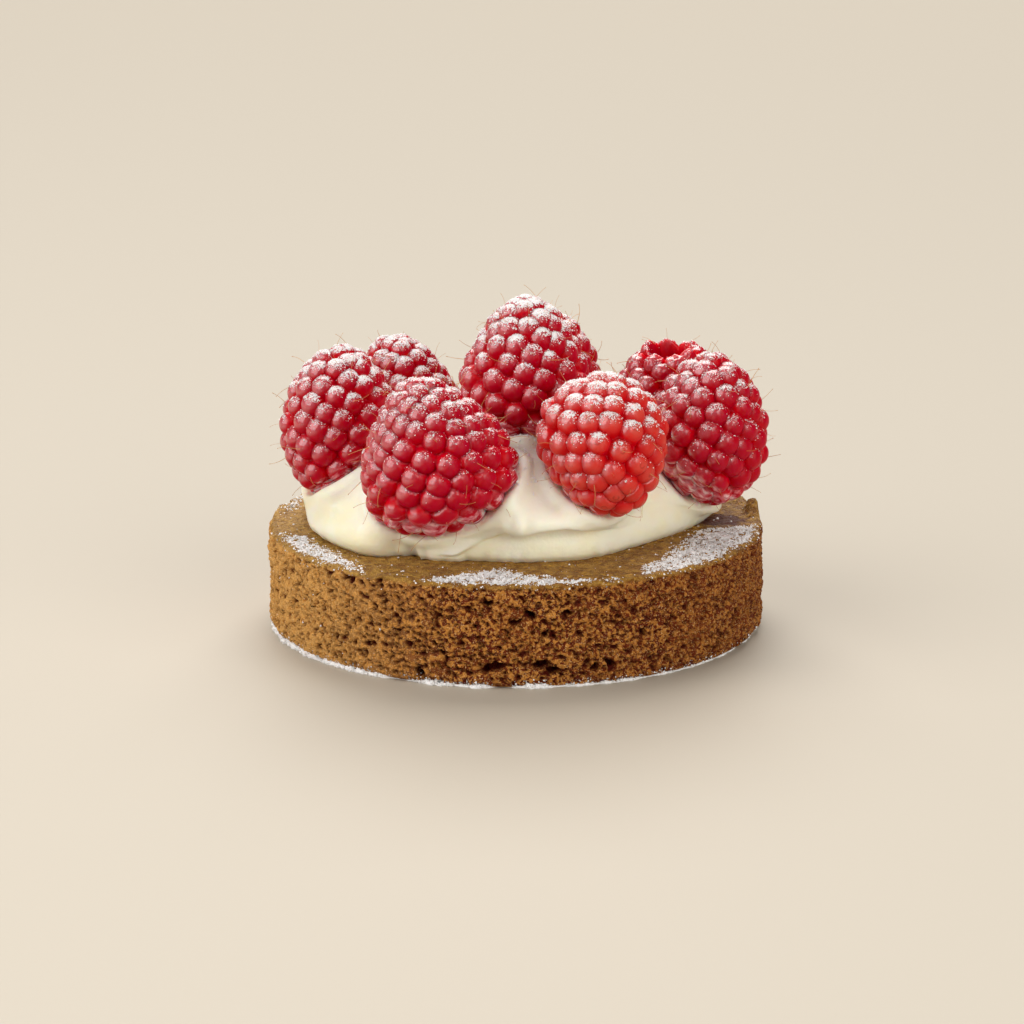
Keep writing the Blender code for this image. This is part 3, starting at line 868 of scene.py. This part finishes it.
# Lips where the cream is folded over: the line under the lip, how far it stands out, and its width
CREAM_LIPS = (
    (((-9.5, -26.2, 17.8), (-7.5, -26.4, 19.0), (-5.4, -26.6, 20.2), (-2.8, -26.6, 21.4),
      (-1.2, -26.6, 22.8), (-0.8, -26.2, 24.4)), 0.9, 2.2),
    (((0.2, -27, 22.6), (3.5, -26.8, 22.8), (7.7, -26.2, 22.9), (11.8, -25.2, 22.3), (15.1, -23.8, 21.3),
      (18.3, -21.8, 20.5), (20.8, -20, 20.6), (22.6, -18, 21.7), (23.4, -16.5, 23.2)), 1.5, 2.1),
    (((22.7, -16, 23.1), (26.5, -11, 21.8), (30.1, -6, 20.5)), 0.7, 1.8),
    (((-20, 26, 22.5), (-8, 31, 24), (4, 33, 22.5), (16, 31, 21)), 1.2, 2.8),
    (((26, 24, 21.5), (31, 15, 22.5), (34, 6, 21)), 0.9, 2.4),
)
# Ridges left by the spoon, and air pockets: a line, its width, and how far it stands out or in
CREAM_MARKS = (
    (((1.5, -11, 33.8), (1.2, -16, 31.4), (0, -22, 27.8), (0.3, -26, 23.5)), 2.6, 1.7),
    (((-1.0, -25.6, 26), (0.4, -27, 24.3), (0.9, -28, 23.1)), 1.2, 1.5),
    (((28, -6, 21.8), (31.5, -3.4, 20.4)), 1.3, 1.0),
    (((-24, -22, 20), (-20.5, -25, 18.4)), 2.6, 1.0),
    (((-32.5, -8, 24.5), (-29.5, -15, 23.5)), 1.6, 0.8),
    (((-30.0, -13, 25.0),), 1.0, -0.8),
    (((-31.6, -11.5, 23),), 0.8, -0.6),
    (((-29.5, -15, 22),), 0.9, -0.5),
    (((6, -24, 26), (10, -22, 26)), 1.6, -0.7),
    (((-10, 33, 20), (0, 34.5, 21), (12, 33.5, 19.5)), 1.6, 0.6),
    (((-34, 4, 22), (-32, 14, 23), (-26, 22, 22)), 1.8, 0.7),
)
# A tongue of cream that the spoon drew out at the right
TONGUE_BEARING = -5
TONGUE_HALF_WIDTH = 5.0
TONGUE_HEIGHT = 19.9
TONGUE_THICKNESS = 0.9
TONGUE_REACH = 0.075
# The ridge between the front berries, on which icing sugar settled
SUGARED_RIDGE = ((1.5, -12, 33.4), (1.3, -16, 31.6), (0.8, -20, 29.2))


def loop_curve(points, bearing):
    """A smooth closed curve through (bearing, value) points, read at a bearing in degrees."""
    count = len(points)
    bearing = (bearing - points[0][0]) % 360 + points[0][0]
    ends = [place for place, _ in points[1:]] + [points[0][0] + 360]
    i = next(i for i in range(count) if bearing <= ends[i])
    t = (bearing - points[i][0]) / (ends[i] - points[i][0])
    before, start, end, after = (points[(i + step) % count][1] for step in (-1, 0, 1, 2))
    slope = (end - before) / 2
    bend = before - 2.5 * start + 2 * end - after / 2
    return start + t * (slope + t * (bend + t * (1.5 * (start - end) + (after - before) / 2)))


def smooth_line(values, places):
    """A smooth curve through values that stand at 0, 1, 2 and so on, read at the places."""
    values = np.concatenate([[2 * values[0] - values[1]], values, [2 * values[-1] - values[-2]]])
    index = np.minimum(places.astype(int), len(values) - 4)
    t = places - index
    before, start, end, after = (values[index + step] for step in range(4))
    bend = before - 2.5 * start + 2 * end - after / 2
    return start + t * ((end - before) / 2 + t * (bend + t * (1.5 * (start - end) + (after - before) / 2)))


def mound_surface():
    """Rings of points of the plain mound, from its foot to its crown."""
    bearings = np.linspace(-180, 180, CREAM_STEPS, endpoint=False)
    edge = np.array([loop_curve(CREAM_EDGE, bearing) for bearing in bearings])
    parts = len(CREAM_SECTION) - 1
    rows = np.linspace(0, parts, parts * ROWS_TO_A_PART + 1)
    share, rise = (smooth_line(np.array(values), rows) for values in zip(*CREAM_SECTION))
    fold = smooth_line(np.array([FOLD.get(row, 0.0) for row in range(parts + 1)]), rows)
    start, full, fading, end = FOLD_BEARINGS
    folded = smooth_step(start, full, bearings) * (1 - smooth_step(fading, end, bearings))
    drop, place, reach = SAG
    away = np.abs((bearings - place + 180) % 360 - 180) / reach
    radius = edge * share[:, None] + fold[:, None] * folded
    sag = drop * (1 - smooth_step(0, 1, away)) * np.sin(pi * rise[:, None])
    height = SPONGE_HEIGHT + MOUND_HEIGHT * rise[:, None] - sag
    turns = np.radians(bearings)
    points = np.stack([radius * np.cos(turns), radius * np.sin(turns), height], axis=-1)
    for row in range(len(rows)):
        ragged = 1 - float(smooth_step(0.02, 0.15, rise[row]))
        for step, turn in enumerate(turns):
            outward = Vector((cos(turn), sin(turn), 0))
            lump = LUMPS * noise.noise(3 * outward + Vector((0, 0, 4 * rise[row]))) * min(1.0, 4 * rise[row])
            torn = 0.25 + float(smooth_step(0, 4, TORN_REACH - abs(bearings[step] - TORN_BEARING)))
            scallop = SCALLOP * ragged * torn * (abs(noise.noise(outward * 13)) - 0.25)
            points[row, step] += (-scallop * outward.x, -scallop * outward.y, lump)
    return points


def ring_normals(points):
    """Outward unit normals of rings of points."""
    up = np.gradient(points, axis=0)
    along = np.roll(points, -1, axis=1) - np.roll(points, 1, axis=1)
    normals = np.cross(along, up)
    return normals / np.maximum(np.linalg.norm(normals, axis=-1, keepdims=True), 1e-9)


def nearest_on_line(points, line):
    """Distance from each point to a line through 3-D places, and the nearest place on it."""
    line = [np.array(place, float) for place in line]
    best = np.full(points.shape[:-1], np.inf)
    found = np.zeros_like(points)
    for start, end in zip(line, line[1:] or line):
        step = end - start
        t = np.clip((points - start) @ step / max(step @ step, 1e-9), 0, 1)
        place = start + t[..., None] * step
        distance = np.linalg.norm(points - place, axis=-1)
        closer = distance < best
        best = np.where(closer, distance, best)
        found[closer] = place[closer]
    return best, found


def berry_distance(points, berry):
    """Distance of each point outside the berry's skin, negative inside, and the way out of it."""
    turn = np.array(berry_place(berry).to_3x3())
    place = (points - np.array(berry.middle)) @ turn
    across = np.hypot(place[..., 0], place[..., 1])
    up = place[..., 2] / (berry.length / 2)
    height = np.zeros_like(up)
    # The width narrows with the height on the skin, which a few rounds find
    for _ in range(4):
        size = np.hypot(across / (berry.half_width * (1 - berry.taper * height)), up)
        height = np.clip(up / np.maximum(size, 1e-6), -1, 1)
    far = np.linalg.norm(place, axis=-1)
    outward = (place @ turn.T) / np.maximum(far, 1e-6)[..., None]
    return far * (1 - 1 / np.maximum(size, 1e-6)), outward


def cream_mesh():
    """The mound with its lips, ridges and tongue, and a dent and a squeezed lip for each berry."""
    points = mound_surface()
    normals = ring_normals(points)
    lipped = np.zeros(points.shape[:-1])
    for line, lift, width in CREAM_LIPS:
        distance, nearest = nearest_on_line(points, line)
        above = smooth_step(-0.2, 0.3, points[..., 2] - nearest[..., 2])
        near = np.exp(-((distance / width) ** 2))
        under = np.exp(-((distance / (0.35 * width)) ** 2)) * (1 - above)
        points = points + normals * (lift * (near * above - 0.6 * under))[..., None]
        points[..., 2] -= 0.45 * lift * near * above
        lipped = np.maximum(lipped, near * above)
    for line, width, lift in CREAM_MARKS:
        distance, _ = nearest_on_line(points, line)
        points = points + normals * (lift * np.exp(-((distance / width) ** 2)))[..., None]
    bearing = np.degrees(np.arctan2(points[..., 1], points[..., 0]))
    tongue = np.clip(1 - np.abs(bearing - TONGUE_BEARING) / TONGUE_HALF_WIDTH, 0, 1) ** 1.5
    tongue *= np.exp(-(((points[..., 2] - TONGUE_HEIGHT) / TONGUE_THICKNESS) ** 2))
    points[..., :2] *= 1 + TONGUE_REACH * tongue[..., None]
    squeezed = np.full(points.shape[:-1], np.inf)
    for berry in RASPBERRIES.values():
        distance, _ = berry_distance(points, berry)
        lip = SQUEEZED_LIP * np.exp(-(((distance - LIP_AWAY) / LIP_WIDTH) ** 2))
        points = points + ring_normals(points) * lip[..., None]
    for _ in range(SMOOTHINGS):
        points[1:-1] = 0.5 * points[1:-1] + 0.125 * (
            points[:-2] + points[2:] + np.roll(points, 1, axis=1)[1:-1] + np.roll(points, -1, axis=1)[1:-1]
        )
    for berry in RASPBERRIES.values():
        distance, outward = berry_distance(points, berry)
        points = points + outward * np.maximum(0, -DENT_OVERLAP - distance)[..., None]
        squeezed = np.minimum(squeezed, distance)
    rows, steps = points.shape[:2]
    corners = points.reshape(-1, 3) * MM
    crown = np.append(points[-1].mean(axis=0)[:2], points[-1, :, 2].max()) * MM
    faces = []
    for row in range(rows - 1):
        low = row * steps
        high = low + steps
        for step in range(steps):
            after = (step + 1) % steps
            faces.append((low + step, low + after, high + after, high + step))
    top = (rows - 1) * steps
    faces += [(top + step, top + (step + 1) % steps, rows * steps) for step in range(steps)]
    faces.append(tuple(reversed(range(steps))))
    mesh = bpy.data.meshes.new("cream_folds")
    mesh.from_pydata([*corners.tolist(), crown.tolist()], [], faces)
    mesh.shade_smooth()
    store(mesh, "lip", np.append(lipped.reshape(-1), 0.0))
    store(mesh, "squeezed", np.append(squeezed.reshape(-1), 0.0))
    sugared, _ = nearest_on_line(points, SUGARED_RIDGE)
    store(mesh, "dust", np.append(0.5 * np.exp(-((sugared / 2.4) ** 2)).reshape(-1), 0.0))
    return mesh


CREAM_IVORY = (0.95, 0.88, 0.63)
CREAM_CLOUDS = (0.96, 0.92, 0.75)
CREAM_HIGH_UP = (0.92, 0.93, 0.82)
CREAM_LIP = (0.93, 0.91, 0.76)
JUICE_PINK = (0.86, 0.46, 0.46)


def cream_finish():
    """Ivory cream, paler on its folds and high up, and pink where it touches a berry."""
    material, tree, shader, point = new_finish("vanilla_cream")
    lip, squeezed = stored(tree, "lip"), stored(tree, "squeezed")
    cloud = grain(point, 0.13)
    fine = grain(point, 1.1, 3.0)
    colour = blend_colours(fade(cloud, 0.35, 0.65), CREAM_IVORY, CREAM_CLOUDS)
    _, _, height = split(point)
    colour = blend_colours(fade(height, 21, 27) * 0.7, colour, CREAM_HIGH_UP)
    colour = blend_colours(fade(lip, 0.0, 0.6) * 0.7, colour, CREAM_LIP)
    stain = fade(squeezed, 0.45, -0.3) * fade(fine, 0.35, 0.6)
    colour = blend_colours(stain * 0.55, colour, JUICE_PINK)
    feed(shader, "Base Color", colour)
    feed(shader, "Roughness", 0.36 + 0.14 * fine)
    feed(shader, "Subsurface Weight", 0.5)
    feed(shader, "Subsurface Radius", (1.0, 0.72, 0.40))
    feed(shader, "Subsurface Scale", 1.8 * MM)
    bump(shader, cloud + 0.45 * fine, 0.22)
    return material


cream = made_piece("cream_folds", cream_mesh())
cream.data.materials.append(cream_finish())
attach(cream, "root")
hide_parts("cream")

# Where cream has smeared a berry, as (line, reach), besides within SMEAR_RIM of the cream
SMEARS = (
    (((-1.5, -21, 30), (-4, -27, 26.3), (-8, -30, 24), (-12.6, -31, 22.6), (-19, -29.5, 23.3)), 3.4),
    (((26, -9, 27.5), (27.5, -11, 26), (30.1, -11, 23.7), (33.2, -9, 21.5), (36.3, -6.5, 22.5)), 3.4),
    (((-28.8, -8.5, 25.5), (-26, -8, 27)), 2.2), (((5.5, -27.5, 27.0), (9, -28, 25)), 1.8),
)
SMEAR_RIM = 1.8
cream_skin = BVHTree.FromObject(cream, bpy.context.evaluated_depsgraph_get())
for piece in berries:
    points = np.array([vertex.co for vertex in piece.data.vertices])
    gaps = [cream_skin.find_nearest(point, SMEAR_RIM * MM)[3] for point in points]
    smear = np.array([0.0 if gap is None else 1 - gap / (SMEAR_RIM * MM) for gap in gaps])
    for line, reach in SMEARS:
        distance, _ = nearest_on_line(points / MM, line)
        smear = np.maximum(smear, 1 - distance / reach)
    store(piece.data, "smear", smear)


# Icing sugar
# Sifted over the finished tartlet: fine grains and small clumps that stay where a surface faces
# up, on the beads of the berries, in the crescents on the crust and along the foot.

# Grains to a square metre where the sugar lies thickest, and their smallest and largest size in metres
BERRY_GRAINS = (1.4e7, 0.07 * MM, 0.20 * MM)
CRUST_GRAINS = (2.4e7, 0.08 * MM, 0.30 * MM)
# The ridge of sugar at the foot: its inner edge, its crest, and its outer edge where it is thinnest
FRINGE_STEPS = 1200
FRINGE_INNER = 36.8
FRINGE_CREST = 38.0
FRINGE_OUTER = 38.6
FRINGE_FILM = 0.08
ICING_IN_LIGHT = (0.95, 0.94, 0.94)
ICING_IN_SHADE = (0.86, 0.84, 0.84)


def icing_rule():
    """Small uneven grains scattered on a surface as thickly as its attribute dust tells."""
    tree, (host, density, small, large, icing) = new_rule("icing_sugar", (
        ("Surface", "NodeSocketGeometry"), ("Density", "NodeSocketFloat"), ("Smallest", "NodeSocketFloat"),
        ("Largest", "NodeSocketFloat"), ("Icing", "NodeSocketMaterial"),
    ))
    index = add(tree, "GeometryNodeInputIndex")
    weight = add(tree, "GeometryNodeInputNamedAttribute", "dust", data_type="FLOAT")
    place = add(tree, "GeometryNodeInputPosition")
    clumps = fade(add(tree, "ShaderNodeTexNoise", place * (1 / MM), 0.9, 3.0), 0.38, 0.62)
    points = add(tree, "GeometryNodeDistributePointsOnFaces", host, None, density * weight * clumps, 3)
    x, y, z = split(place)
    over_floor = joined(tree, x, y, calc("MAXIMUM", z, 1.2 * large))
    points = add(tree, "GeometryNodeSetPosition", points, None, over_floor)
    lump = add(tree, "GeometryNodeMeshUVSphere", 4, 2, 1.0)
    turn = add(tree, "FunctionNodeRandomValue", (0, 0, 0), (6.3, 6.3, 6.3), index, 1,
               data_type="FLOAT_VECTOR")
    uneven = add(tree, "FunctionNodeRandomValue", (0.6, 0.6, 0.6), (1.2, 1.2, 1.2), index, 2,
                 data_type="FLOAT_VECTOR")
    size = small + (large - small) * chance(tree, index, 3) ** 3
    grains = add(tree, "GeometryNodeInstanceOnPoints", points, None, lump, None, None, turn, uneven * size)
    grains = add(tree, "GeometryNodeRealizeInstances", grains)
    grains = add(tree, "GeometryNodeSetShadeSmooth", grains)
    end_rule(tree, add(tree, "GeometryNodeSetMaterial", grains, None, icing))
    return tree


def icing_finish():
    """Matt white."""
    material, _, shader, point = new_finish("icing_sugar")
    feed(shader, "Base Color", blend_colours(grain(point, 2.0), ICING_IN_LIGHT, ICING_IN_SHADE))
    feed(shader, "Roughness", 0.75)
    feed(shader, "Subsurface Weight", 0.3)
    feed(shader, "Subsurface Radius", (1.0, 0.9, 0.9))
    feed(shader, "Subsurface Scale", 0.2 * MM)
    return material


def fringe_mesh():
    """An uneven low ridge of icing sugar round the foot of the sponge."""
    bm = bmesh.new()
    rings = []
    for step in range(FRINGE_STEPS):
        turn = 2 * pi * step / FRINGE_STEPS
        outward = Vector((cos(turn), sin(turn), 0))
        ragged = 0.6 * noise.noise(outward * 16) + 0.6 * noise.noise(outward * 45)
        ragged += 0.4 * noise.noise(outward * 110)
        heaped = 0.75 + 0.5 * noise.noise(outward * 30) + 0.5 * noise.noise(outward * 80)
        laid = icing_at_foot(degrees(turn))
        outer = FRINGE_OUTER + laid * (1.25 + 0.7 * ragged)
        height = FRINGE_FILM + laid * max(0.0, heaped)
        section = (
            (FRINGE_INNER, 0.0), (FRINGE_INNER, height), (FRINGE_CREST, height), (outer - 0.5, 0.9 * height),
            (outer - 0.1, 0.6 * height), (outer, 0.2 * height), (outer, 0.0),
        )
        ring = []
        for radius, lift in section:
            rough = 0.2 * abs(noise.noise(Vector((60 * turn, radius * 2, 0)))) * (lift > 0.05)
            ring.append(bm.verts.new(outward * radius + Vector((0, 0, lift + rough))))
        rings.append(ring)
    for ring, after in zip(rings, rings[1:] + rings[:1]):
        for i in range(len(ring)):
            k = (i + 1) % len(ring)
            bm.faces.new((ring[i], ring[k], after[k], after[i]))
    bmesh.ops.recalc_face_normals(bm, faces=bm.faces)
    mesh = bpy.data.meshes.new("icing_fringe")
    bm.to_mesh(mesh)
    bm.free()
    mesh.transform(Matrix.Scale(MM, 4))
    mesh.shade_smooth()
    store(mesh, "dust", [0.8 if vertex.co.z > 0.04 * MM else 0.0 for vertex in mesh.vertices])
    return mesh


def sifted(name, surfaces, grains):
    """One piece with the grains that lie on these surfaces."""
    density, smallest, largest = grains
    bm = bmesh.new()
    for surface in surfaces:
        bm.from_mesh(built(icing_tree, {
            "Density": density, "Smallest": smallest, "Largest": largest, "Icing": icing,
        }, surface.data))
    mesh = bpy.data.meshes.new(name)
    bm.to_mesh(mesh)
    bm.free()
    mesh.materials.append(icing)
    piece = made_piece(name, mesh)
    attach(piece, "root")
    return piece


icing = icing_finish()
icing_tree = icing_rule()
fringe = made_piece("icing_fringe", fringe_mesh())
fringe.data.materials.append(icing)
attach(fringe, "root")
on_berries = sifted("icing_on_raspberries", berries, BERRY_GRAINS)
on_crust = sifted("icing_on_crust", [sponge, fringe, cream], CRUST_GRAINS)
